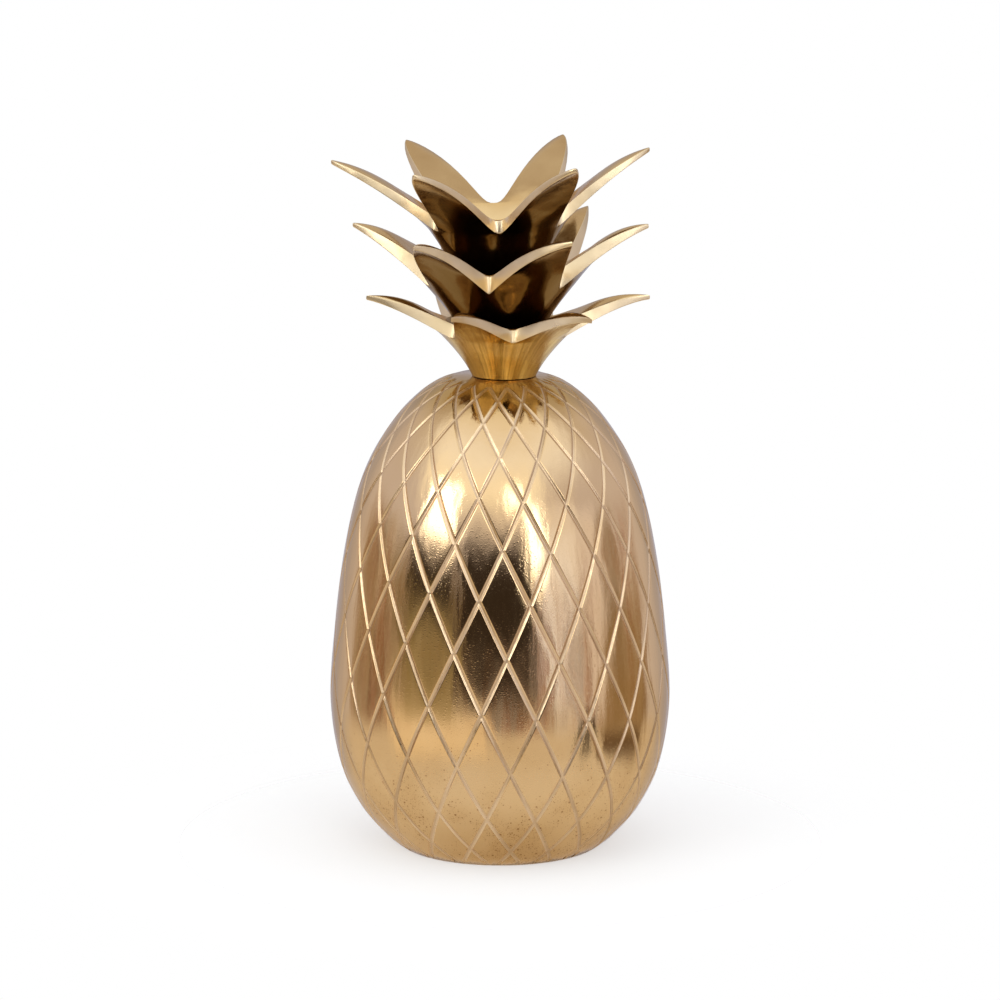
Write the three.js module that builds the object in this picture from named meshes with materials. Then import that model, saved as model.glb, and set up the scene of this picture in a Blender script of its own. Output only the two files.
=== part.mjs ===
// A metal pineapple ornament: an egg-shaped body cut with a lattice of slanting grooves,
// and a crown of three flaring cups, one standing inside the other, each with six pointed leaves.
// Millimetres, +Z up. The origin is the centre of the flat underside, and -Y is the front.

import * as THREE from 'three';

// Driving dimensions of the body
const BODY_HEIGHT = 203.4; // underside to the flat seat of the crown
const BODY_RADIUS = 73; // at the widest place
const GROOVE_WIDTH = 2.0;
const GROOVE_DEPTH = 0.8;

// The two families of grooves. slope is the fall for each unit of sideways run, and start is
// where the first groove meets the underside, in degrees to the right of the front.
const FALLING_RIGHT = { count: 21, slope: 2.095, start: 80.6 };
const FALLING_LEFT = { count: 19, slope: 2.182, start: -77.9 };

// The grooves stop just short of the underside and of the seat
const BASE_BAND = 1.5;
const SEAT_BAND = 0.9;

// The body's outline from the underside to the seat, as shares of its height and of its greatest radius
const BODY_OUTLINE = [
  [0, 0.6], [0.012, 0.645], [0.033, 0.708], [0.092, 0.84], [0.181, 0.948], [0.314, 1], [0.476, 0.969],
  [0.623, 0.916], [0.746, 0.841], [0.83, 0.752], [0.904, 0.623], [0.953, 0.502], [0.986, 0.378], [1, 0.27],
];

// Driving dimensions that the three tiers of the crown share
const LEAF_COUNT = 6;
const CUP_WALL = 3;
const CUP_FLOOR = 4;
const LEAF_TIP_THICKNESS = 1.9;
const LEAF_DOME = 1.8; // how far the middle of a leaf stands above its edges
const REST_GAP = 0.3; // between a cup and what it stands on

// Each tier's own sizes, with heights measured from the seat of the crown.
// The notch is the lowest place of the rim, between two leaves, and the waist draws the cup in below it.
// edgeDrop and edgeOut run from the inner line of the ground edge to its outer line at a notch.
// arch bows a leaf upwards, as a share of its rise. taper and round shape its outline
// at the tip and at the notch. turn and lean are degrees, and shift is how far the cup sits to the right.
// The castings were trimmed by hand, so each leaf has its own [turn in degrees, extra length, extra height]
// at its tip, from the right-hand leaf on, anticlockwise from above.
const LOWER = {
  footRadius: 13.7, waistRadius: 17.4, waistHeight: 8.2, notchRadius: 25, notchHeight: 23.6,
  edgeDrop: 5.5, edgeOut: 2.1, tipRadius: 60.4, tipHeight: 32.6, arch: 0.28, taper: 0.75, round: 1.9,
  turn: 7.7, lean: -0.3, shift: 1.7,
  leaves: [[-1, 1.9, 1.1], [0.5, 0, 0], [-6, 0, 0], [-0.6, -1.6, 2.4], [0.6, -0.8, 0.4], [-1.3, 0.5, -0.8]],
};
const MIDDLE = {
  footRadius: 10.5, waistRadius: 13.8, waistHeight: 18.5, notchRadius: 29.9, notchHeight: 47,
  edgeDrop: 7.5, edgeOut: 1.8, tipRadius: 63.9, tipHeight: 64.4, arch: 0.17, taper: 1.05, round: 1.9,
  turn: -9.1, lean: 1, shift: 1,
  leaves: [[-0.6, -0.5, 0.8], [2.6, 0.7, 0.9], [2, 0, 0], [0.6, -0.7, 0.8], [6, 0.6, -0.9], [6.8, 0.1, 0.1]],
};
const UPPER = {
  footRadius: 6.5, waistRadius: 16.4, waistHeight: 46.4, notchRadius: 28.4, notchHeight: 70.2,
  edgeDrop: 5.6, edgeOut: 0.8, tipRadius: 68, tipHeight: 94.1, arch: 0.105, taper: 1.4, round: 2.9,
  turn: 1.9, lean: 2.3, shift: 0.8,
  leaves: [[-1.2, -2.3, 0.6], [2, 0.5, 0.8], [1.1, 2.1, 1.5], [-0.6, 0.6, 0.9], [-0.1, 1, 0.4], [-2.5, 0.4, 0.2]],
};

// How finely the faceted solids follow their curves
const OUTLINE_STEPS = 600;
const RING_STEPS = 48; // round the edges of the underside and of the seat
const LEAF_STOPS = [0.1, 0.3, 0.62]; // between a leaf's middle line and the notch beside it
const TIER_ROWS = 4; // from the foot to the rim

const LINES_PER_GROOVE = 4;
const HALF_LEAF = 180 / LEAF_COUNT;

const degrees = (angle) => (angle * Math.PI) / 180;
const mix = (from, to, share) => from + (to - from) * share;

// A piece's triangles as a geometry with shared corners
function meshGeometry(positions, triangles) {
  const geometry = new THREE.BufferGeometry();
  geometry.setAttribute('position', new THREE.Float32BufferAttribute(positions, 3));
  geometry.setIndex(triangles.flat());
  geometry.computeVertexNormals();
  return geometry;
}

// The outline as a table that is read by its winding: the path's length over its radius, summed
// from the underside up. A groove of constant slope is a straight line against it.
function outlineTable() {
  const corners = BODY_OUTLINE.map(([up, out]) => new THREE.Vector2(out * BODY_RADIUS, up * BODY_HEIGHT));
  const points = new THREE.SplineCurve(corners).getPoints(OUTLINE_STEPS);
  const sums = [0];
  for (let i = 1; i < points.length; i++) {
    const radius = (points[i].x + points[i - 1].x) / 2;
    sums.push(sums[i - 1] + points[i].distanceTo(points[i - 1]) / radius);
  }
  return { points, winding: sums };
}

// The outline's point at a winding, and the direction straight out of the surface there
function outlineAt({ points, winding }, value) {
  let low = 0;
  let high = winding.length - 1;
  while (high - low > 1) {
    const middle = (low + high) >> 1;
    if (winding[middle] > value) high = middle;
    else low = middle;
  }
  const share = THREE.MathUtils.clamp((value - winding[low]) / (winding[high] - winding[low]), 0, 1);
  const along = points[high].clone().sub(points[low]).normalize();
  return {
    point: points[low].clone().lerp(points[high], share),
    out: new THREE.Vector2(along.y, -along.x),
  };
}

// The lines that a family of grooves gives the mesh. Each groove has its bottom, its two edges
// and the middle of the pad beside it.
function latticeLine({ count, start, turnPerWinding }, index) {
  const groove = Math.floor(index / LINES_PER_GROOVE);
  const place = index - groove * LINES_PER_GROOVE;
  const step = (2 * Math.PI) / count;
  return {
    turn: degrees(start) + (groove + [0, 0, 0.5, 1][place]) * step,
    side: [0, 1, 0, -1][place],
    tilt: Math.hypot(1, turnPerWinding),
    isBottom: place === 0,
  };
}

// The triangles between two closed loops of corners, the upper one first. Each loop goes once
// round the axis, and a corner is its number and its turn.
function bandBetween(upper, lower) {
  const triangles = [];
  const turnOf = (loop, i) => loop[i % loop.length].turn + (i < loop.length ? 0 : 2 * Math.PI);
  const numberOf = (loop, i) => loop[i % loop.length].number;
  let [i, j] = [0, 0];
  while (i < upper.length || j < lower.length) {
    const here = [numberOf(upper, i), numberOf(lower, j)];
    const goesUpper = i < upper.length && (j >= lower.length || turnOf(upper, i + 1) < turnOf(lower, j + 1));
    if (goesUpper) triangles.push([here[0], here[1], numberOf(upper, ++i)]);
    else triangles.push([here[0], here[1], numberOf(lower, ++j)]);
  }
  return triangles;
}

// The egg-shaped body. Its mesh lines follow the grooves: u is constant along each groove that
// falls to the right, and v along each that falls to the left.
function bodyGeometry() {
  const table = outlineTable();
  const right = { ...FALLING_RIGHT, turnPerWinding: 1 / FALLING_RIGHT.slope };
  const left = { ...FALLING_LEFT, turnPerWinding: 1 / FALLING_LEFT.slope };
  const totalTurn = right.turnPerWinding + left.turnPerWinding;
  const windingAt = (height) => table.winding[table.points.findIndex((point) => point.y >= height)];
  const lowest = windingAt(BASE_BAND);
  const highest = windingAt(BODY_HEIGHT - SEAT_BAND);

  const crossing = (a, b) => {
    const lines = [latticeLine(right, a), latticeLine(left, b)];
    const { x: radius } = outlineAt(table, (lines[0].turn - lines[1].turn) / totalTurn).point;
    const [u, v] = lines.map(({ turn, side, tilt }) => turn + (side * tilt * GROOVE_WIDTH) / 2 / radius);
    const winding = (u - v) / totalTurn;
    return {
      winding,
      turn: u - winding * right.turnPerWinding,
      isDeep: lines[0].isBottom || lines[1].isBottom,
      isCross: lines[0].isBottom && lines[1].isBottom,
    };
  };

  const positions = [];
  const addPoint = (turn, radius, height) => {
    positions.push(radius * Math.sin(turn), -radius * Math.cos(turn), height);
    return positions.length / 3 - 1;
  };
  const corners = new Map();
  const around = { a: right.count * LINES_PER_GROOVE, b: left.count * LINES_PER_GROOVE };
  const corner = (a, b) => {
    const turns = Math.floor(a / around.a);
    const key = `${a - turns * around.a},${b - turns * around.b}`;
    if (!corners.has(key)) {
      const { winding, turn, isDeep } = crossing(a, b);
      const { point, out } = outlineAt(table, winding);
      if (isDeep) point.addScaledVector(out, -GROOVE_DEPTH);
      const number = addPoint(turn, point.x, point.y);
      corners.set(key, { number, turn: THREE.MathUtils.euclideanModulo(turn, 2 * Math.PI) });
    }
    return corners.get(key);
  };

  // A patch between four lines is kept where it lies wholly between the two bands
  const isInside = (a, b) => {
    const { winding } = crossing(a, b);
    return winding > lowest && winding < highest;
  };
  const isKept = (a, b) => isInside(a, b) && isInside(a + 1, b) && isInside(a, b + 1) && isInside(a + 1, b + 1);
  const triangles = [];
  const lowEnds = new Set();
  const highEnds = new Set();
  for (let a = 0; a < around.a; a++) {
    for (let b = -3 * around.b; b < 3 * around.b; b++) {
      if (!isKept(a, b)) continue;
      const [near, east, far, west] = [corner(a, b), corner(a + 1, b), corner(a + 1, b + 1), corner(a, b + 1)];
      if (crossing(a, b).isCross || crossing(a + 1, b + 1).isCross) {
        triangles.push([near, far, east], [near, west, far]);
      } else {
        triangles.push([near, west, east], [east, west, far]);
      }
      if (!isKept(a - 1, b)) lowEnds.add(near).add(west);
      if (!isKept(a, b + 1)) lowEnds.add(west).add(far);
      if (!isKept(a + 1, b)) highEnds.add(east).add(far);
      if (!isKept(a, b - 1)) highEnds.add(near).add(east);
    }
  }
  const inOrder = (ends) => [...ends].sort((one, other) => one.turn - other.turn);
  const ring = ({ x: radius, y: height }) => Array.from({ length: RING_STEPS }, (_, i) => {
    const turn = (i / RING_STEPS) * 2 * Math.PI;
    return { number: addPoint(turn, radius, height), turn };
  });
  const underside = ring(table.points[0]);
  const seat = ring(table.points[OUTLINE_STEPS]);
  const numbers = triangles.map((patch) => patch.map(({ number }) => number));
  numbers.push(...bandBetween(inOrder(lowEnds), underside), ...bandBetween(seat, inOrder(highEnds)));
  const centres = [addPoint(0, 0, 0), addPoint(0, 0, BODY_HEIGHT)];
  for (let i = 0; i < RING_STEPS; i++) {
    const next = (i + 1) % RING_STEPS;
    numbers.push([centres[0], underside[next].number, underside[i].number]);
    numbers.push([centres[1], seat[i].number, seat[next].number]);
  }
  return meshGeometry(positions, numbers);
}

// The columns of points around a tier, in order: the leaf, the side of its middle line
// and how far the column lies from that line towards the notch
function tierColumns() {
  const columns = [];
  for (let leaf = 0; leaf < LEAF_COUNT; leaf++) {
    for (const across of [...LEAF_STOPS].reverse()) columns.push({ leaf, side: -1, across });
    for (const across of [0, ...LEAF_STOPS, 1]) columns.push({ leaf, side: 1, across });
  }
  return columns;
}

// One column's points, from the foot up the outside to the rim and down the inside to the floor
function tierSection(tier, foot, { leaf, side, across }) {
  const [tipTurn, tipLonger, tipHigher] = tier.leaves[leaf];
  const notch = new THREE.Vector2(tier.notchRadius, tier.notchHeight - foot);
  const edge = new THREE.Vector2(notch.x + tier.edgeOut, notch.y - tier.edgeDrop);
  const waist = new THREE.Vector2(tier.waistRadius, tier.waistHeight - foot);
  const outside = new THREE.QuadraticBezierCurve(new THREE.Vector2(tier.footRadius, 0), waist, edge);
  const floorRadius = outside.getPoint(CUP_FLOOR / edge.y).x - CUP_WALL;
  const innerWaist = new THREE.Vector2(waist.x - CUP_WALL, waist.y + CUP_FLOOR);
  const inside = new THREE.QuadraticBezierCurve(new THREE.Vector2(floorRadius, CUP_FLOOR), innerWaist, notch);

  // A leaf reaches out from the notch's circle: out is 0 there and 1 at the tip
  const length = tier.tipRadius + tipLonger - notch.x;
  const rise = tier.tipHeight - tier.notchHeight;
  const leafTop = (out) => {
    const halfWidth = (1 - out ** (1 / tier.round)) ** (1 / tier.taper);
    const offMiddle = halfWidth > 0 ? Math.min(across / halfWidth, 1) : 0;
    const dome = LEAF_DOME * Math.sin(Math.PI * out) * (1 - offMiddle ** 2);
    const bow = tier.arch * 4 * out * (1 - out);
    return new THREE.Vector2(notch.x + length * out, notch.y + rise * (out + bow) + tipHigher * out ** 2 + dome);
  };
  const leafUnder = (out) => {
    const drop = mix(tier.edgeDrop, LEAF_TIP_THICKNESS, out);
    return leafTop(out).add(new THREE.Vector2(tier.edgeOut * (1 - out), -drop));
  };
  const reach = (1 - across ** tier.taper) ** tier.round;
  const path = (cup, blade) => Array.from({ length: TIER_ROWS + 1 }, (_, row) => {
    const place = (row / TIER_ROWS) * (1 + reach);
    const out = Math.max(place - 1, 0);
    const { x: radius, y: height } = place <= 1 ? cup.getPoint(place) : blade(out);
    const turn = degrees((2 * leaf + side * across) * HALF_LEAF + tipTurn * out);
    return [radius * Math.cos(turn), radius * Math.sin(turn), height];
  });
  return [...path(outside, leafUnder), ...path(inside, leafTop).reverse()];
}

// One flaring cup with its pointed leaves: the foot, the underside, the ground edge,
// the inside and the floor
function tierGeometry(tier, foot) {
  const positions = [0, 0, 0, 0, 0, CUP_FLOOR];
  const [footCentre, floorCentre] = [0, 1];
  const rings = tierColumns().map((column) => tierSection(tier, foot, column).map((point) => {
    positions.push(...point);
    return positions.length / 3 - 1;
  }));
  const triangles = [];
  rings.forEach((here, i) => {
    const next = rings[(i + 1) % rings.length];
    triangles.push([footCentre, next[0], here[0]]);
    for (let row = 0; row + 1 < here.length; row++) {
      triangles.push([here[row], next[row], next[row + 1]], [here[row], next[row + 1], here[row + 1]]);
    }
    triangles.push([floorCentre, here.at(-1), next.at(-1)]);
  });
  return meshGeometry(positions, triangles);
}

// A leaning foot dips on one side, so it is raised by that much
const footLift = (tier) => REST_GAP + tier.footRadius * Math.sin(degrees(Math.abs(tier.lean)));

// Each cup stands on the seat or on the floor of the cup below it
function crown() {
  const metal = {
    crown_lower_tier: { color: 0xc9a15e, roughness: 0.24 },
    crown_middle_tier: { color: 0xc59c5c, roughness: 0.22 },
    crown_upper_tier: { color: 0xc69d5c, roughness: 0.22 },
  };
  const group = new THREE.Group();
  let seat = 0;
  [LOWER, MIDDLE, UPPER].forEach((tier, i) => {
    const name = Object.keys(metal)[i];
    const foot = seat + footLift(tier);
    const material = new THREE.MeshStandardMaterial({ ...metal[name], metalness: 1 });
    const mesh = new THREE.Mesh(tierGeometry(tier, foot), material);
    mesh.name = name;
    mesh.position.set(tier.shift, 0, foot);
    mesh.rotation.set(0, degrees(-tier.lean), degrees(tier.turn));
    group.add(mesh);
    seat = foot + CUP_FLOOR;
  });
  group.position.z = BODY_HEIGHT;
  return group;
}

const ornament = new THREE.Group();
const bodyMetal = new THREE.MeshStandardMaterial({ color: 0xcfae78, roughness: 0.26, metalness: 1 });
const body = new THREE.Mesh(bodyGeometry(), bodyMetal);
body.name = 'body';
ornament.add(body, crown());

export default ornament;
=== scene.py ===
import math

import bmesh
import bpy
import numpy as np
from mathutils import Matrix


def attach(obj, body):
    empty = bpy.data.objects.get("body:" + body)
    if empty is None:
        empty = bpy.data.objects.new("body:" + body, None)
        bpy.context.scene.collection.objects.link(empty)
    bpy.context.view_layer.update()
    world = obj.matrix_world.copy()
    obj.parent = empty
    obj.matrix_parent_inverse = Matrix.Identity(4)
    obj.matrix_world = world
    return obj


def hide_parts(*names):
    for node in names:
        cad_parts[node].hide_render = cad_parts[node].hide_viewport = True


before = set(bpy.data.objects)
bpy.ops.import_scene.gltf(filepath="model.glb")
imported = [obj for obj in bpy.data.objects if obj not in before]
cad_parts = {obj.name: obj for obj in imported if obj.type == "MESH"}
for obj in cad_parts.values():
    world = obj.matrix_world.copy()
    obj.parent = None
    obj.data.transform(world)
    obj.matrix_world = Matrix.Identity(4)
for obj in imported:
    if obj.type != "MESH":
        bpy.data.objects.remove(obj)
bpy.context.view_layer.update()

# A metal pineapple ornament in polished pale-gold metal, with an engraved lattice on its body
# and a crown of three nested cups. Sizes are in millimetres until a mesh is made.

MM = 0.001

# The body
BODY_HEIGHT = 203.4
BODY_RADIUS = 73
GROOVE_WIDTH = 2.0
GROOVE_DEPTH = 0.62
FALLING_RIGHT = {"count": 21, "slope": 2.095, "start": 80.6}
FALLING_LEFT = {"count": 19, "slope": 2.182, "start": -77.9}
BASE_BAND = 1.5
SEAT_BAND = 0.9
BODY_OUTLINE = [
    (0, 0.6), (0.012, 0.645), (0.033, 0.708), (0.092, 0.84), (0.181, 0.948), (0.314, 1), (0.476, 0.969),
    (0.623, 0.916), (0.746, 0.841), (0.83, 0.752), (0.904, 0.623), (0.953, 0.502), (0.986, 0.378), (1, 0.27),
]

# The crown's tiers. Heights are measured from the seat on the body. Turns and leans are in degrees, shift is
# sideways, arch is the bow of a leaf as a share of its rise, and taper and round shape its outline. Each leaf
# has its own turn, extra length and extra height
LEAF_COUNT = 6
CUP_WALL = 3
CUP_FLOOR = 4
LEAF_TIP_THICKNESS = 1.9
LEAF_DOME = 1.8
REST_GAP = 0.3
LOWER = {
    "foot_radius": 13.7, "waist_radius": 17.4, "waist_height": 8.2,
    "notch_radius": 25, "notch_height": 23.6,
    "edge_drop": 5.5, "edge_out": 2.1, "tip_radius": 60.4, "tip_height": 32.6, "arch": 0.28,
    "taper": 0.75, "round": 1.9, "turn": 7.7, "lean": -0.3, "shift": 1.7,
    "leaves": [(-1, 1.9, 1.1), (0.5, 0, 0), (-6, 0, 0), (-0.6, -1.6, 2.4), (0.6, -0.8, 0.4),
               (-1.3, 0.5, -0.8)],
}
MIDDLE = {
    "foot_radius": 10.5, "waist_radius": 13.8, "waist_height": 18.5,
    "notch_radius": 29.9, "notch_height": 47,
    "edge_drop": 7.5, "edge_out": 1.8, "tip_radius": 63.9, "tip_height": 64.4, "arch": 0.17,
    "taper": 1.05, "round": 1.9, "turn": -9.1, "lean": 1, "shift": 1,
    "leaves": [(-0.6, -0.5, 0.8), (2.6, 0.7, 0.9), (2, 0, 0), (0.6, -0.7, 0.8), (6, 0.6, -0.9),
               (6.8, 0.1, 0.1)],
}
UPPER = {
    "foot_radius": 6.5, "waist_radius": 16.4, "waist_height": 46.4,
    "notch_radius": 28.4, "notch_height": 70.2,
    "edge_drop": 5.6, "edge_out": 0.8, "tip_radius": 68, "tip_height": 94.1, "arch": 0.105,
    "taper": 1.4, "round": 2.9, "turn": 1.9, "lean": 2.3, "shift": 0.8,
    "leaves": [(-1.2, -2.3, 0.6), (2, 0.5, 0.8), (1.1, 2.1, 1.5), (-0.6, 0.6, 0.9), (-0.1, 1, 0.4),
               (-2.5, 0.4, 0.2)],
}

# How finely the meshes follow their curves. The pads are the metal between the grooves, and the columns of a
# leaf crowd towards its middle line
OUTLINE_STEPS = 1600
RING_STEPS = 180
FLOOR_STEPS = 96
PAD_LINES = 5
LEAF_COLUMNS = 15
COLUMN_CROWDING = 1.5
CUP_ROWS = 26
BLADE_ROWS = 20
ROUNDING_STEPS = 3

# Edges that bend by more degrees than this stay sharp, and points closer than this, in metres, are joined
BODY_SHARP_FROM = 50
CROWN_SHARP_FROM = 60
WELD_REACH = 0.000001

# The ground edges of the leaves: their rounded corners, and how far they face upwards. A column of the mesh
# whose reach along its leaf is below BLADE_FROM has no blade of its own
EDGE_ROUNDING = 0.7
CORNER_SHARE = 0.45
EDGE_TILT = 0.25
BLADE_FROM = 0.02

# Keeps a division by nothing from happening
TINY = 1e-9

# A groove's cross-section: half-widths from its bottom line, and the share of its depth there. FLANK_LINES of
# these lines on either side of the bottom are inside the cut
GROOVE_SECTION = [(0, 1), (0.22, 0.93), (0.5, 0.6), (0.85, 0.14), (1, 0.04), (1.3, 0)]
FLANK_LINES = 3

# The share of their depth that the grooves have at some heights, how much it drifts along each, and how
# quickly it does so with the winding and with the place in either family
BITE_HEIGHTS = (20, 85, 160, 200)
BITE_SHARES = (0.6, 1, 1, 0.55)
BITE_DRIFT = 0.2
BITE_ALONG = (3.1, 2.3)
BITE_SWAY = 5
BITE_AROUND = (4, 7)

# The turns that a groove may wind round the body either way
MOST_TURNS = 3

# The camera, from the photograph's perspective
CAMERA_DISTANCE = 1.87714
CAMERA_HEIGHT = 0.51645
CAMERA_PITCH = 11.064
FOCAL_PER_IMAGE = 4.47558
SENSOR = 36


def add_mesh(name, points, faces, sharp_from=BODY_SHARP_FROM):
    """A named mesh object from points in millimetres, shaded smooth except across sharp edges."""
    mesh = bpy.data.meshes.new(name)
    mesh.from_pydata((np.asarray(points) * MM).tolist(), [], faces)
    mesh.validate()
    mesh.shade_smooth()
    mesh.set_sharp_from_angle(angle=math.radians(sharp_from))
    piece = bpy.data.objects.new(name, mesh)
    bpy.context.collection.objects.link(piece)
    return piece


def weld(piece):
    """Joins the points that fall together, which leaves no faces without an area."""
    work = bmesh.new()
    work.from_mesh(piece.data)
    bmesh.ops.remove_doubles(work, verts=work.verts, dist=WELD_REACH)
    work.to_mesh(piece.data)
    work.free()


def spline_through(corners, steps):
    """Points on a smooth curve through the corners, as many in each stretch."""
    corners = np.array(corners, float)
    last = len(corners) - 1
    place = np.linspace(0, last, steps + 1)
    span = np.minimum(place.astype(int), last - 1)
    t = (place - span)[:, None]
    before, after = corners[np.maximum(span - 1, 0)], corners[np.minimum(span + 2, last)]
    start, end = corners[span], corners[span + 1]
    leave, arrive = (end - before) / 2, (after - start) / 2
    cubic = 2 * start - 2 * end + leave + arrive
    square = -3 * start + 3 * end - 2 * leave - arrive
    return ((cubic * t + square) * t + leave) * t + start


class Outline:
    """The body's outline, read by its winding: the path's length over its radius, summed upwards."""

    def __init__(self):
        shares = np.array(BODY_OUTLINE)
        corners = np.stack([shares[:, 1] * BODY_RADIUS, shares[:, 0] * BODY_HEIGHT], 1)
        self.points = spline_through(corners, OUTLINE_STEPS)
        steps = np.diff(self.points, axis=0)
        lengths = np.hypot(*steps.T)
        middles = (self.points[1:, 0] + self.points[:-1, 0]) / 2
        self.winding = np.concatenate([[0], np.cumsum(lengths / middles)])
        along = np.gradient(self.points, axis=0)
        along /= np.hypot(*along.T)[:, None]
        self.out = np.stack([along[:, 1], -along[:, 0]], 1)

    def at(self, winding, table):
        return np.stack([np.interp(winding, self.winding, column) for column in table.T], -1)

    def winding_at(self, height):
        return np.interp(height, self.points[:, 1], self.winding)


def lattice_lines(family):
    """One groove's mesh lines and its pad's: place in the pitch, half-widths aside, and share of depth."""
    sides = GROOVE_SECTION[1:]
    edge = GROOVE_SECTION[-1][0]
    lines = [(0, 0, 1)]
    lines += [(0, side, depth) for side, depth in sides]
    lines += [(k / (PAD_LINES + 1), edge * (1 - 2 * k / (PAD_LINES + 1)), 0) for k in range(1, PAD_LINES + 1)]
    lines += [(1, -side, depth) for side, depth in reversed(sides)]
    place, side, depth = np.array(lines).T
    groove = np.arange(family["count"])[:, None]
    step = math.tau / family["count"]
    turn = math.radians(family["start"]) + (groove + place) * step
    return turn.ravel(), np.tile(side, family["count"]), np.tile(depth, family["count"])


def body_mesh():
    """The body, meshed along its two families of grooves between a band at the base and one at the seat."""
    outline = Outline()
    run = [1 / FALLING_RIGHT["slope"], 1 / FALLING_LEFT["slope"]]
    turn_u, side_u, depth_u = lattice_lines(FALLING_RIGHT)
    turn_v, side_v, depth_v = lattice_lines(FALLING_LEFT)
    count_u, count_v = len(turn_u), len(turn_v)
    a = np.arange(count_u + 1)[:, None]
    b = np.arange(-MOST_TURNS * count_v, MOST_TURNS * count_v + 1)[None, :]
    base_u = turn_u[a % count_u] + (a // count_u) * math.tau
    base_v = turn_v[b % count_v] + (b // count_v) * math.tau
    winding = (base_u - base_v) / sum(run)
    radius = outline.at(winding, outline.points)[..., 0]
    half = GROOVE_WIDTH / 2 / radius
    u = base_u + side_u[a % count_u] * math.hypot(1, run[0]) * half
    v = base_v + side_v[b % count_v] * math.hypot(1, run[1]) * half
    winding = (u - v) / sum(run)
    turn = u - winding * run[0]
    depth = np.maximum(depth_u[a % count_u] + 0 * b, depth_v[b % count_v] + 0 * a)

    low, high = outline.winding_at(BASE_BAND), outline.winding_at(BODY_HEIGHT - SEAT_BAND)
    inside = (winding > low) & (winding < high)
    kept = inside[:-1, :-1] & inside[1:, :-1] & inside[:-1, 1:] & inside[1:, 1:]

    # A hand-held cutter bites unevenly, so the depth drifts along each groove, and it is less near the ends
    surface = outline.at(winding, outline.points)
    sway = np.sin(BITE_ALONG[0] * winding + BITE_SWAY * np.sin(u * BITE_AROUND[0]))
    bite = 1 + BITE_DRIFT * sway * np.cos(BITE_ALONG[1] * winding + BITE_AROUND[1] * v)
    bite *= np.interp(surface[..., 1], BITE_HEIGHTS, BITE_SHARES)
    inward = outline.at(winding, outline.out) * (depth * bite * GROOVE_DEPTH)[..., None]
    section = surface - inward
    place = np.stack([section[..., 0] * np.sin(turn), -section[..., 0] * np.cos(turn), section[..., 1]], -1)

    points, numbers, turns = [], {}, []

    def number(i, j):
        wraps = i // count_u
        key = (i - wraps * count_u, j - wraps * count_v)
        if key not in numbers:
            numbers[key] = len(points)
            points.append(place[i, j])
            turns.append(turn[i, j] % math.tau)
        return numbers[key]

    def is_kept(i, j):
        if i < 0:
            i, j = i + count_u, j + count_v
        if i >= count_u:
            i, j = i - count_u, j - count_v
        return 0 <= j < kept.shape[1] and kept[i, j]

    def is_cut(line, lines_per_groove=len(turn_u) // FALLING_RIGHT["count"]):
        place = line % lines_per_groove
        return place < FLANK_LINES or place >= lines_per_groove - FLANK_LINES

    faces, cut_faces, low_ends, high_ends = [], [], set(), set()
    for i, j in zip(*np.nonzero(kept)):
        if is_cut(i) or is_cut(b[0, j]):
            cut_faces.append(len(faces))
        near, east, far, west = number(i, j), number(i + 1, j), number(i + 1, j + 1), number(i, j + 1)
        faces.append((near, west, far, east))
        if not is_kept(i - 1, j):
            low_ends.update((near, west))
        if not is_kept(i, j + 1):
            low_ends.update((west, far))
        if not is_kept(i + 1, j):
            high_ends.update((east, far))
        if not is_kept(i, j - 1):
            high_ends.update((near, east))

    def ring(radius, height):
        first = len(points)
        for k in range(RING_STEPS):
            angle = k / RING_STEPS * math.tau
            points.append((radius * math.sin(angle), -radius * math.cos(angle), height))
            turns.append(angle)
        return list(range(first, first + RING_STEPS))

    def band(upper, lower):
        """The triangles between two closed loops, each in the order of its turns."""
        loops = [upper + upper[:1], lower + lower[:1]]
        angles = [[turns[n] for n in loop[:-1]] + [turns[loop[0]] + math.tau] for loop in loops]
        i = j = 0
        while i < len(upper) or j < len(lower):
            here = (loops[0][i], loops[1][j])
            if i < len(upper) and (j >= len(lower) or angles[0][i + 1] < angles[1][j + 1]):
                i += 1
                faces.append((*here, loops[0][i]))
            else:
                j += 1
                faces.append((*here, loops[1][j]))

    def in_order(ends):
        return sorted(ends, key=lambda n: turns[n])

    underside, seat = ring(*outline.points[0]), ring(*outline.points[-1])
    band(in_order(low_ends), underside)
    band(seat, in_order(high_ends))
    faces.append(tuple(reversed(underside)))
    faces.append(tuple(seat))
    return add_mesh("engraved_body", points, faces), cut_faces


def bezier(start, control, end, share):
    """Points on a curve that leaves start and meets end, drawn towards control."""
    share = np.asarray(share, float)[:, None]
    return (1 - share) ** 2 * start + 2 * share * (1 - share) * control + share ** 2 * end


def rounded(before, corner, after, radius):
    """A few points that take the place of a sharp corner."""
    back, ahead = before - corner, after - corner
    reach = min(radius, np.hypot(*back) * CORNER_SHARE, np.hypot(*ahead) * CORNER_SHARE)
    back = back / max(np.hypot(*back), TINY) * reach
    ahead = ahead / max(np.hypot(*ahead), TINY) * reach
    return bezier(corner + back, corner, corner + ahead, np.linspace(0, 1, ROUNDING_STEPS + 1))


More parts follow.
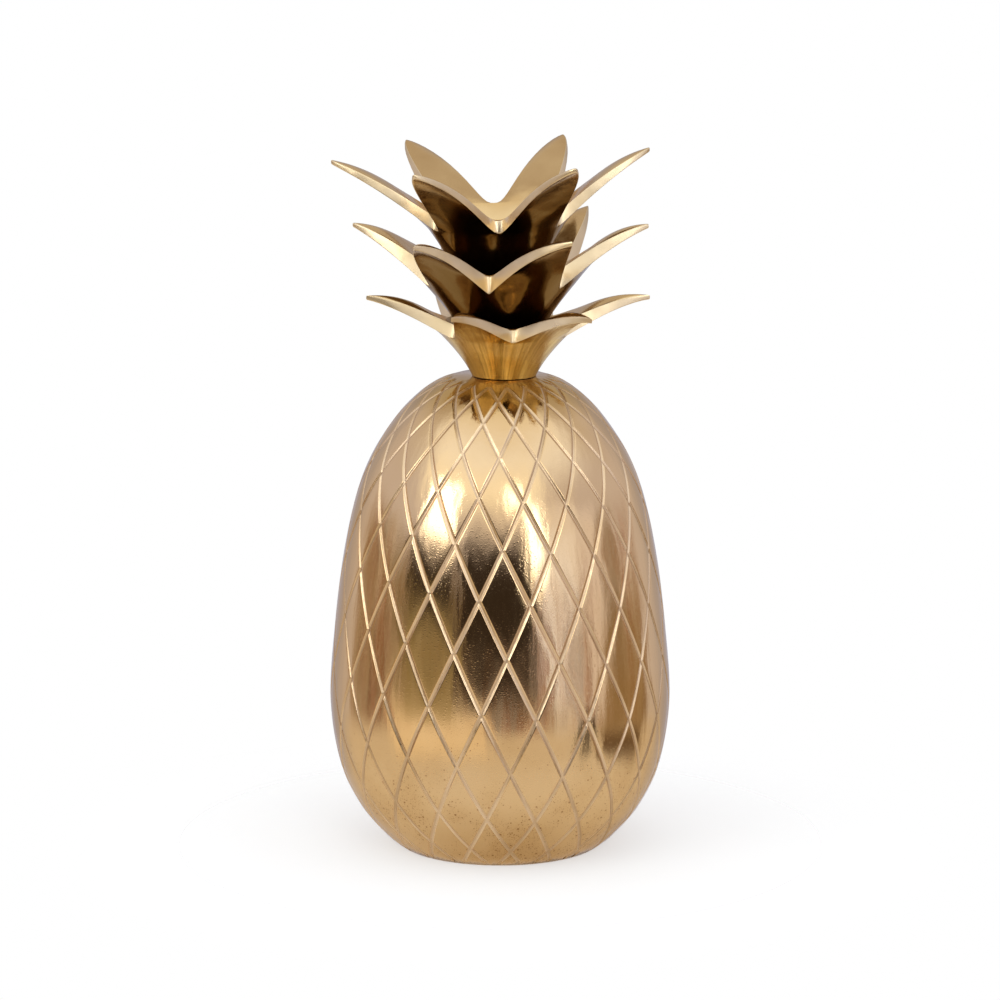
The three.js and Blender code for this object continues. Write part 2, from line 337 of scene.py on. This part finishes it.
def tier_section(tier, foot, leaf, across):
    """One column from the foot up the outside, over the ground edge and down the inside to the floor.

    It also gives each point's reach along its leaf, and how far it stands off sideways, because the
    ground edges face slightly upwards: a leaf's underside is wider than its top.
    """
    _, tip_longer, tip_higher = tier["leaves"][leaf]
    notch = np.array([tier["notch_radius"], tier["notch_height"] - foot])
    edge = notch + (tier["edge_out"], -tier["edge_drop"])
    start = np.array([tier["foot_radius"], 0])
    waist = np.array([tier["waist_radius"], tier["waist_height"] - foot])
    floor_radius = bezier(start, waist, edge, [CUP_FLOOR / edge[1]])[0, 0] - CUP_WALL
    inner_start = np.array([floor_radius, CUP_FLOOR])
    inner_waist = waist + (-CUP_WALL, CUP_FLOOR)

    length = tier["tip_radius"] + tip_longer - notch[0]
    rise = tier["tip_height"] - tier["notch_height"]

    def leaf_top(out):
        half_width = (1 - out ** (1 / tier["round"])) ** (1 / tier["taper"])
        off_middle = np.where(half_width > 0, np.minimum(across / np.maximum(half_width, TINY), 1), 0)
        dome = LEAF_DOME * np.sin(math.pi * out) * (1 - off_middle ** 2)
        bow = tier["arch"] * 4 * out * (1 - out)
        height = notch[1] + rise * (out + bow) + tip_higher * out ** 2 + dome
        return np.stack([notch[0] + length * out, height], 1)

    def leaf_under(out):
        drop = tier["edge_drop"] + (LEAF_TIP_THICKNESS - tier["edge_drop"]) * out
        return leaf_top(out) + np.stack([tier["edge_out"] * (1 - out), -drop], 1)

    reach = (1 - across ** tier["taper"]) ** tier["round"]
    cup = np.linspace(0, 1, CUP_ROWS + 1)
    blade = np.linspace(0, reach, BLADE_ROWS + 1)[1:]
    outside = np.concatenate([bezier(start, waist, edge, cup), leaf_under(blade)])
    inside = np.concatenate([bezier(inner_start, inner_waist, notch, cup), leaf_top(blade)])
    under_out = np.concatenate([cup * 0, blade])

    before_rim = -2 if reach > BLADE_FROM else CUP_ROWS - 1
    outer_rim = rounded(outside[before_rim], outside[-1], inside[-1], EDGE_ROUNDING)
    inner_rim = rounded(outside[-1], inside[-1], inside[before_rim], EDGE_ROUNDING)
    section = np.concatenate([outside[:-1], outer_rim, inner_rim, inside[-2::-1]])
    outs = np.concatenate([under_out[:-1], np.full(2 * ROUNDING_STEPS + 2, reach), under_out[-2::-1]])
    ground = outside[-1] - inside[-1]
    rim = np.concatenate([outer_rim, inner_rim]) - inside[-1]
    down_ground = np.clip(rim @ ground / (ground @ ground), 0, 1)
    shares = np.concatenate([under_out[:-1] / max(reach, TINY), down_ground, 0 * under_out[-2::-1]])
    sideways = EDGE_TILT * -ground[1] * (1 - (2 * across - 1) ** 4) * shares
    return section, outs, sideways


def tier_columns():
    """The columns round a tier: leaf, side of its middle line, and distance from it towards the notch."""
    stops = (np.arange(LEAF_COLUMNS + 1) / LEAF_COLUMNS) ** COLUMN_CROWDING
    for leaf in range(LEAF_COUNT):
        for across in stops[-2:0:-1]:
            yield leaf, -1, across
        for across in stops:
            yield leaf, 1, across


def tier_mesh(name, tier, foot):
    """One flaring cup with six pointed leaves, standing at its foot's height above the seat."""
    half_leaf = 180 / LEAF_COUNT
    columns = []
    for leaf, side, across in tier_columns():
        section, outs, sideways = tier_section(tier, foot, leaf, across)
        turn = np.radians((2 * leaf + side * across) * half_leaf + tier["leaves"][leaf][0] * outs)
        turn += side * sideways / section[:, 0]
        out, up = section.T
        columns.append(np.stack([out * np.cos(turn), out * np.sin(turn), up], 1))
    columns = np.array(columns)
    rows = columns.shape[1]
    turn, lean = math.radians(tier["turn"]), math.radians(-tier["lean"])
    spin = np.array([[math.cos(turn), -math.sin(turn), 0], [math.sin(turn), math.cos(turn), 0], [0, 0, 1]])
    tip = np.array([[math.cos(lean), 0, math.sin(lean)], [0, 1, 0], [-math.sin(lean), 0, math.cos(lean)]])
    ends = np.array([(0, 0, 0), (0, 0, CUP_FLOOR)])
    points = np.concatenate([columns.reshape(-1, 3), ends]) @ (tip @ spin).T
    points += (tier["shift"], 0, BODY_HEIGHT + foot)

    rim_starts = CUP_ROWS + BLADE_ROWS
    rim_ends = rim_starts + 2 * ROUNDING_STEPS + 1

    def region_of(row):
        if row < rim_starts:
            return "outside"
        if row < rim_ends:
            return "rim"
        return "top" if row < rim_ends + BLADE_ROWS else "inside"

    faces, regions = [], []
    total = len(columns)
    foot_centre, floor_centre = total * rows, total * rows + 1
    for i in range(total):
        here, after = i * rows, (i + 1) % total * rows
        faces.append((foot_centre, after, here))
        regions.append("outside")
        for row in range(rows - 1):
            faces.append((here + row, after + row, after + row + 1, here + row + 1))
            regions.append(region_of(row))
        faces.append((floor_centre, here + rows - 1, after + rows - 1))
        regions.append("inside")
    return add_mesh(name, points, faces, sharp_from=CROWN_SHARP_FROM), regions


body, cut_faces = body_mesh()
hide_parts("body")
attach(body, "root")

foot = 0
seat = 0
crown = {}
for name, node, tier in [
    ("crown_cup_lower", "crown_lower_tier", LOWER),
    ("crown_cup_middle", "crown_middle_tier", MIDDLE),
    ("crown_cup_upper", "crown_upper_tier", UPPER),
]:
    foot = seat + REST_GAP + tier["foot_radius"] * math.sin(math.radians(abs(tier["lean"])))
    piece, regions = tier_mesh(name, tier, foot)
    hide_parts(node)
    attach(piece, "root")
    crown[name] = (piece, regions)
    seat = foot + CUP_FLOOR


def node(tree, kind, **inputs):
    """A shader node with some of its inputs set or linked; underscores stand for spaces."""
    made = tree.nodes.new(kind)
    for key, value in inputs.items():
        socket = made.inputs[int(key[1:])] if key[0] == "_" else made.inputs[key.replace("_", " ")]
        if isinstance(value, bpy.types.NodeSocket):
            tree.links.new(value, socket)
        else:
            socket.default_value = value
    return made


def compute(tree, operation, *values):
    """The result of one math operation."""
    made = node(tree, "ShaderNodeMath", **{f"_{i}": value for i, value in enumerate(values)})
    made.operation = operation
    return made.outputs[0]


def fade(tree, value, low, high):
    """0 below low and 1 above high, with a soft change between. A low above high turns it round."""
    made = node(tree, "ShaderNodeMapRange", Value=value, From_Min=low, From_Max=high)
    made.interpolation_type = "SMOOTHSTEP"
    return made.outputs[0]


def blend_colours(tree, share, first, second):
    made = tree.nodes.new("ShaderNodeMix")
    made.data_type = "RGBA"
    for socket, value in zip((made.inputs[0], made.inputs[6], made.inputs[7]), (share, first, second)):
        if isinstance(value, bpy.types.NodeSocket):
            tree.links.new(value, socket)
        else:
            socket.default_value = value if isinstance(value, float) else (*value, 1)
    return made.outputs[2]


def product(tree, first, *factors):
    for factor in factors:
        first = compute(tree, "MULTIPLY", first, factor)
    return first


def noise(tree, place, scale, detail):
    return node(tree, "ShaderNodeTexNoise", Vector=place, Scale=scale, Detail=detail).outputs[0]


def cells(tree, place, scale):
    """The distance from the middle of a cell, and two numbers drawn by lot for that cell."""
    made = node(tree, "ShaderNodeTexVoronoi", Vector=place, Scale=scale)
    lots = node(tree, "ShaderNodeSeparateXYZ", Vector=made.outputs["Color"]).outputs
    return made.outputs["Distance"], lots[0], lots[1]


# The colours of the metal. Most finishes drift between a colour and a deeper one
BODY_GOLD = ((0.66, 0.46, 0.255), (0.63, 0.425, 0.22))
GROOVE_GOLD = ((0.67, 0.49, 0.31), (0.5, 0.34, 0.19))
CROWN_GOLD = ((0.66, 0.47, 0.235), (0.54, 0.36, 0.17))
CUP_GOLD = ((0.84, 0.68, 0.35), (0.76, 0.57, 0.26))
RIM_GOLD = ((0.7, 0.555, 0.36), (0.63, 0.48, 0.28))
EDGE_TINT = (0.88, 0.79, 0.68)
# CUP_SHADE is painted shade, laid on the cups where they stand inside one another
CUP_SHADE = (0.18, 0.1, 0.028)
STREAK_GOLD = (0.48, 0.33, 0.12)
PAINTED_SEAT_SHADE = (0.47, 0.3, 0.1)
BASE_GOLD = (0.62, 0.41, 0.18)
MOTTLE_GOLD = (0.5, 0.3, 0.12)
PIT_BROWN = (0.26, 0.12, 0.045)

# How finely the noises repeat, in cells to a metre
DRIFT_SCALE = 28.0
SAND_SCALE = 2200.0
DENT_SCALE = 1000.0
MOTTLE_SCALE = 60.0
WAVE_SCALE = 75.0
LONG_GRAIN = (700, 700, 90)
EVEN_GRAIN = (700, 700, 700)
STREAK_RADIUS = 0.02
GRAIN_DEPTH = 0.0004

# The values of a noise or lot between which its effect fades in
DRIFT_FADE = (0.35, 0.7)
STREAK_FADE = (0.44, 0.56)
DENT_FADE = (0.4, 0.05)
DENT_LOTS = (0.55, 0.8)
MOTTLE_FADE = (0.4, 0.7)
CROWD_FADE = (0.2, 0.6)
LOT_FADE = 0.1

# The roughness follows the grain, from less to more than its value
GRAIN_SPAN = (0.3, 0.75)
ROUGHNESS_SPAN = (0.8, 1.3)

# The heights on the body between which its deeper tones fade in: painted shade towards the seat, under the
# crown, and a deeper tone towards the base
SEAT_SHADE_HEIGHTS = (0.188, 0.2)
BASE_HEIGHTS = (0.095, 0.015)
SEAT_SHADE_SHARE = 0.75
BASE_SHARE = 0.5
MOTTLE_SHARE = 0.35
MOTTLE_ROUGHNESS = 0.08

# Three sizes of cast pits: cells to a metre, the share of cells without one, and how dark they are
PITS = [(650.0, 0.78, 0.9), (1150.0, 0.6, 0.75), (1900.0, 0.5, 0.5)]
PIT_REACH = 0.33
PIT_SOFTNESS = 0.06


def wear_and_painted_shade(tree, place, z, colour, height, rough):
    """Painted shade towards the seat under the crown, a deeper tone and a mottle towards the base, and small
    cast pits that crowd towards its base.
    """
    low = fade(tree, z, *BASE_HEIGHTS)
    # Painted shade towards the seat, where the crown stands over the body
    colour = blend_colours(tree, product(tree, fade(tree, z, *SEAT_SHADE_HEIGHTS), SEAT_SHADE_SHARE), colour, PAINTED_SEAT_SHADE)
    patches = noise(tree, place, MOTTLE_SCALE, 3.0)
    mottle = product(tree, low, fade(tree, patches, *MOTTLE_FADE))
    colour = blend_colours(tree, product(tree, low, BASE_SHARE), colour, BASE_GOLD)
    colour = blend_colours(tree, product(tree, mottle, MOTTLE_SHARE), colour, MOTTLE_GOLD)
    reach = product(tree, low, fade(tree, patches, *CROWD_FADE), PIT_REACH)
    for scale, bare, darkness in PITS:
        distance, lot, _ = cells(tree, place, scale)
        inside = compute(tree, "SUBTRACT", reach, distance)
        edge = fade(tree, inside, -PIT_SOFTNESS, PIT_SOFTNESS)
        pit = product(tree, edge, fade(tree, lot, bare, bare + LOT_FADE))
        colour = blend_colours(tree, product(tree, pit, darkness), colour, PIT_BROWN)
        height = compute(tree, "SUBTRACT", height, pit)
    return colour, height, compute(tree, "ADD", rough, product(tree, mottle, MOTTLE_ROUGHNESS))


def metal(name, gold, roughness, grain=LONG_GRAIN, bump_strength=0.03, waviness=0.0006,
          wave_stretch=(1, 1, 1), dents=0.0, wear_and_shade=False, shade=None, streaks=0.0):
    """Polished cast metal with a drifting colour, fine grain and the slight waves of hand polishing.

    dents is the height of tiny dents all over. wear_and_shade adds the body's painted shade at the seat under
    the crown, its deeper tones at the base and its cast pits.
    shade lays painted shade on the metal, darker from an outer radius to an inner one, and streaks is the
    share of a deeper colour along the grain.
    """
    material = bpy.data.materials.new(name)
    material.use_nodes = True
    tree = material.node_tree
    shader = tree.nodes["Principled BSDF"]
    shader.inputs["Metallic"].default_value = 1
    shader.inputs["Specular Tint"].default_value = (*EDGE_TINT, 1)
    place = tree.nodes.new("ShaderNodeTexCoord").outputs["Object"]
    x, y, z = node(tree, "ShaderNodeSeparateXYZ", Vector=place).outputs
    radius = compute(tree, "SQRT", compute(tree, "ADD", product(tree, x, x), product(tree, y, y)))

    drift = noise(tree, place, DRIFT_SCALE, 3.0)
    colour = blend_colours(tree, fade(tree, drift, *DRIFT_FADE), *gold)
    along = place
    if streaks:
        # The grain runs up the flare: its place is taken from the direction round the axis
        reach = product(tree, radius, 1 / STREAK_RADIUS)
        along = node(tree, "ShaderNodeCombineXYZ", X=compute(tree, "DIVIDE", x, reach),
                     Y=compute(tree, "DIVIDE", y, reach), Z=z).outputs[0]
    stretched = node(tree, "ShaderNodeMapping", Vector=along, Scale=grain).outputs[0]
    brushed = noise(tree, stretched, 1.0, 4.0)
    rough = node(tree, "ShaderNodeMapRange", Value=brushed, From_Min=GRAIN_SPAN[0], From_Max=GRAIN_SPAN[1],
                 To_Min=roughness * ROUGHNESS_SPAN[0], To_Max=roughness * ROUGHNESS_SPAN[1]).outputs[0]
    height = compute(tree, "ADD", brushed, noise(tree, place, SAND_SCALE, 2.0))
    if streaks:
        streak = product(tree, fade(tree, brushed, *STREAK_FADE), streaks)
        colour = blend_colours(tree, streak, colour, STREAK_GOLD)
    if dents:
        distance, _, lot = cells(tree, place, DENT_SCALE)
        dent = product(tree, fade(tree, distance, *DENT_FADE), fade(tree, lot, *DENT_LOTS), dents)
        height = compute(tree, "ADD", height, dent)
    # Painted shade, darker towards the crown's middle where the cups nest
    if shade:
        colour = blend_colours(tree, fade(tree, radius, *shade), colour, CUP_SHADE)
    # The body's painted shade at the seat, with its base tones, mottle and cast pits
    if wear_and_shade:
        colour, height, rough = wear_and_painted_shade(tree, place, z, colour, height, rough)

    wave_place = node(tree, "ShaderNodeMapping", Vector=place, Scale=wave_stretch).outputs[0]
    wave = noise(tree, wave_place, WAVE_SCALE, 1.5)
    waves = node(tree, "ShaderNodeBump", Height=wave, Strength=1.0, Distance=waviness)
    bump = node(tree, "ShaderNodeBump", Height=height, Strength=bump_strength, Distance=GRAIN_DEPTH,
                Normal=waves.outputs[0])
    tree.links.new(colour, shader.inputs["Base Color"])
    tree.links.new(rough, shader.inputs["Roughness"])
    tree.links.new(bump.outputs[0], shader.inputs["Normal"])
    return material


# The body: polished between its grooves, and duller where they are cut
body.data.materials.append(
    metal("polished_body", BODY_GOLD, 0.09, grain=(900, 900, 120), bump_strength=0.045, waviness=0.00013,
          wave_stretch=(3.6, 3.6, 0.3), dents=20.0, wear_and_shade=True)
)
body.data.materials.append(metal("cut_groove", GROOVE_GOLD, 0.33, grain=EVEN_GRAIN, bump_strength=0.06))
for index in cut_faces:
    body.data.polygons[index].material_index = 1

# The crown: bright leaves and ground edges, a brushed lowest cup, and painted shade in the depths between the
# cups
plain = metal("polished_crown", CROWN_GOLD, 0.2)
ground_rim = metal("ground_rim", RIM_GOLD, 0.32, grain=(60, 60, 60), bump_strength=0.004)
cup_outside = metal("cup_outside", CUP_GOLD, 0.16, grain=(1200, 1200, 25), bump_strength=0.22, streaks=0.6)
shaded_outside = metal("shaded_outside", CROWN_GOLD, 0.15, bump_strength=0.012, shade=(0.07, 0.045))
shaded_inside = metal("shaded_inside", CROWN_GOLD, 0.2, shade=(0.029, 0.02))
for name, (piece, regions) in crown.items():
    finishes = {
        "top": plain,
        "rim": ground_rim,
        "outside": cup_outside if name == "crown_cup_lower" else shaded_outside,
        "inside": plain if name == "crown_cup_upper" else shaded_inside,
    }
    slots = list(dict.fromkeys(finishes.values()))
    for finish in slots:
        piece.data.materials.append(finish)
    for polygon, region in zip(piece.data.polygons, regions):
        polygon.material_index = slots.index(finishes[region])
    weld(piece)


# The studio by direction, in degrees to the right of the front and above the horizon. Each form has its left,
# right, bottom, top and softness, the share that it covers, its colour, and a seed where it is made of
# upright stripes. A later form lies over an earlier one
WALL = (0.83, 0.82, 0.94)
BRICK = (0.4, 0.14, 0.06)
SHADE = (0.04, 0.03, 0.022)
WINDOW = (4.5, 4.6, 4.6)
ROUND = 400
CEILING_FORMS = [
    (-ROUND, ROUND, 37, 100, 15, 1, (1.34, 1.44, 1.6), None),
    (-ROUND, ROUND, 60, 100, 12, 0.8, (1.2, 1.18, 1.06), None),
    (-ROUND, -100, 30, 100, 18, 1, (0.76, 0.72, 0.7), None),
    (100, ROUND, 30, 100, 18, 1, (0.76, 0.72, 0.7), None),
]
WALL_FORMS = [
    (-122, -20, -40, 4, 5, 0.85, (0.54, 0.44, 0.34), None),
    (60, 118, -40, -2, 5, 0.8, (0.6, 0.54, 0.46), None),
    (29, 56, -40, 12, 6, 1, (1.3, 1.5, 2.0), None),
    (-118, 118, -40, 7, 6, 0.85, (1.1, 1.0, 0.92), 9),
    (-118, 118, -40, 7, 6, 0.9, (0.1, 0.065, 0.04), 21),
    (-118, 118, -40, 7, 6, 0.9, BRICK, 33),
    (-118, -28, -40, 8, 6, 0.7, (0.34, 0.28, 0.13), 51),
    (-82, -28, -8, 8, 7, 0.4, (0.22, 0.19, 0.1), None),
    (-22, 24, -13, 0, 7, 0.6, (0.24, 0.2, 0.15), None),
    (28, 56, -100, -7, 6, 0.6, (0.8, 0.72, 0.62), None),
    (34, 64, 2, 24, 5, 0.55, (1.4, 1.45, 1.6), None),
    (65, 79, -14, 16, 4, 0.75, (1.15, 1.15, 1.3), None),
    (83, 97, -8, 12, 4, 0.45, (0.3, 0.22, 0.1), None),
]
FLOOR_FORMS = [
    (-ROUND, ROUND, -100, -16, 4, 1, (0.93, 0.87, 0.79), None),
    (-ROUND, ROUND, -100, -60, 16, 0.9, (0.66, 0.54, 0.37), None),
    (-80, -8, -26, -7.5, 5, 0.8, (1.25, 1.12, 0.9), None),
]
DIM_FORMS = [
    (72, 116, -25, -4, 4, 0.8, (0.4, 0.28, 0.14), None),
    (74, 113, -26, -18, 3, 0.8, (0.13, 0.075, 0.04), None),
    (57, 66, -26, -11, 3, 0.9, (0.06, 0.045, 0.035), None),
    (-71, -30, -12, 3, 4, 0.6, (0.42, 0.36, 0.18), None),
    (-71, -33, 1, 10, 4, 0.98, SHADE, None),
    (-30, 25, -5, 15, 5, 0.99, SHADE, None),
    (-ROUND, -138, -30, 30, 16, 1, (0.58, 0.6, 0.74), None),
    (138, ROUND, -30, 30, 16, 1, (0.58, 0.6, 0.74), None),
]
WINDOW_FORMS = [
    (-76, 40, 24, 48, 12, 0.9, (1.55, 1.6, 1.55), None),
    (-64, -37, 13.5, 35, 4, 1, WINDOW, None),
    (5, 21, 26, 37, 5, 0.9, WINDOW, None),
    (21, 33, 8, 26, 5, 1, WINDOW, None),
]
STRIPES_ACROSS = 0.42
STRIPES_UP = 0.03
STRIPE_FADE = (0.51, 0.56)


def studio_world():
    """A soft studio: pale walls and ceiling, a dim side in front at eye height, and soft windows."""
    world = bpy.data.worlds.new("studio")
    bpy.context.scene.world = world
    world.use_nodes = True
    tree = world.node_tree
    tree.nodes.clear()
    direction = tree.nodes.new("ShaderNodeTexCoord").outputs["Generated"]
    x, y, z = node(tree, "ShaderNodeSeparateXYZ", Vector=direction).outputs
    side = compute(tree, "DEGREES", compute(tree, "ARCTAN2", x, product(tree, y, -1.0)))
    rise = compute(tree, "DEGREES", compute(tree, "ARCSINE", z))

    def inside(left, right, low, high, soft):
        """1 inside a box of directions and 0 outside, with soft borders."""
        return product(
            tree,
            fade(tree, side, left - soft, left + soft), fade(tree, side, right + soft, right - soft),
            fade(tree, rise, low - soft, low + soft), fade(tree, rise, high + soft, high - soft),
        )

    def stripes(seed):
        """Upright stripes of uneven width."""
        place = node(tree, "ShaderNodeCombineXYZ", X=product(tree, side, STRIPES_ACROSS),
                     Y=product(tree, rise, STRIPES_UP), Z=float(seed)).outputs[0]
        uneven = node(tree, "ShaderNodeTexNoise", Vector=place, Scale=1.0, Detail=3.0, Roughness=0.6)
        return fade(tree, uneven.outputs[0], *STRIPE_FADE)

    colour = WALL
    for *box, share, tint, seed in CEILING_FORMS + WALL_FORMS + FLOOR_FORMS + DIM_FORMS + WINDOW_FORMS:
        cover = product(tree, inside(*box), share)
        if seed:
            cover = product(tree, cover, stripes(seed))
        colour = blend_colours(tree, cover, colour, tint)

    seen = node(tree, "ShaderNodeBackground", Color=(1, 1, 1, 1), Strength=1.0)
    lit = node(tree, "ShaderNodeBackground", Color=colour, Strength=1.0)
    is_camera = tree.nodes.new("ShaderNodeLightPath").outputs["Is Camera Ray"]
    both = node(tree, "ShaderNodeMixShader", _0=is_camera, _1=lit.outputs[0], _2=seen.outputs[0])
    out = tree.nodes.new("ShaderNodeOutputWorld")
    tree.links.new(both.outputs[0], out.inputs["Surface"])


studio_world()


# The floor, in metres, and the lamp above it
FLOOR_RADIUS = 0.2
FLOOR_FADES_FROM = 0.09
FLOOR_DROP = 0.0002
FLOOR_COVER = 0.45
FLOOR_WHITE = (0.94, 0.94, 0.94)
FLOOR_ROUGHNESS = 0.8
LAMP_HEIGHT = 1.6
LAMP_SIZE = 1.2
LAMP_POWER = 2.5


def floor_disc():
    """A plain pale floor under the ornament, which fades out into the pale background."""
    radius, drop = FLOOR_RADIUS / MM, FLOOR_DROP / MM
    ring = [k / FLOOR_STEPS * math.tau for k in range(FLOOR_STEPS)]
    rim = [(radius * math.cos(turn), radius * math.sin(turn), -drop) for turn in ring]
    disc = add_mesh("floor", rim, [tuple(range(FLOOR_STEPS))])
    material = bpy.data.materials.new("pale_floor")
    material.use_nodes = True
    tree = material.node_tree
    shader = tree.nodes["Principled BSDF"]
    shader.inputs["Base Color"].default_value = (*FLOOR_WHITE, 1)
    shader.inputs["Roughness"].default_value = FLOOR_ROUGHNESS
    place = tree.nodes.new("ShaderNodeTexCoord").outputs["Object"]
    distance = node(tree, "ShaderNodeVectorMath", _0=place)
    distance.operation = "LENGTH"
    cover = fade(tree, distance.outputs["Value"], FLOOR_RADIUS, FLOOR_FADES_FROM)
    tree.links.new(product(tree, cover, FLOOR_COVER), shader.inputs["Alpha"])
    disc.data.materials.append(material)


floor_disc()


def overhead_lamp():
    """A wide soft lamp straight above, which doesn't show in the metal."""
    data = bpy.data.lights.new("overhead", "AREA")
    data.shape = "DISK"
    data.size = LAMP_SIZE
    data.energy = LAMP_POWER
    lamp = bpy.data.objects.new("overhead", data)
    bpy.context.collection.objects.link(lamp)
    lamp.location = (0, 0, LAMP_HEIGHT)
    lamp.visible_camera = False
    lamp.visible_glossy = False


overhead_lamp()

camera_data = bpy.data.cameras.new("camera")
camera_data.sensor_width = SENSOR
camera_data.lens = SENSOR * FOCAL_PER_IMAGE
camera = bpy.data.objects.new("camera", camera_data)
bpy.context.collection.objects.link(camera)
camera.location = (0, -CAMERA_DISTANCE, CAMERA_HEIGHT)
camera.rotation_euler = (math.radians(90 - CAMERA_PITCH), 0, 0)
bpy.context.scene.camera = camera
bpy.context.scene.view_settings.view_transform = "Standard"
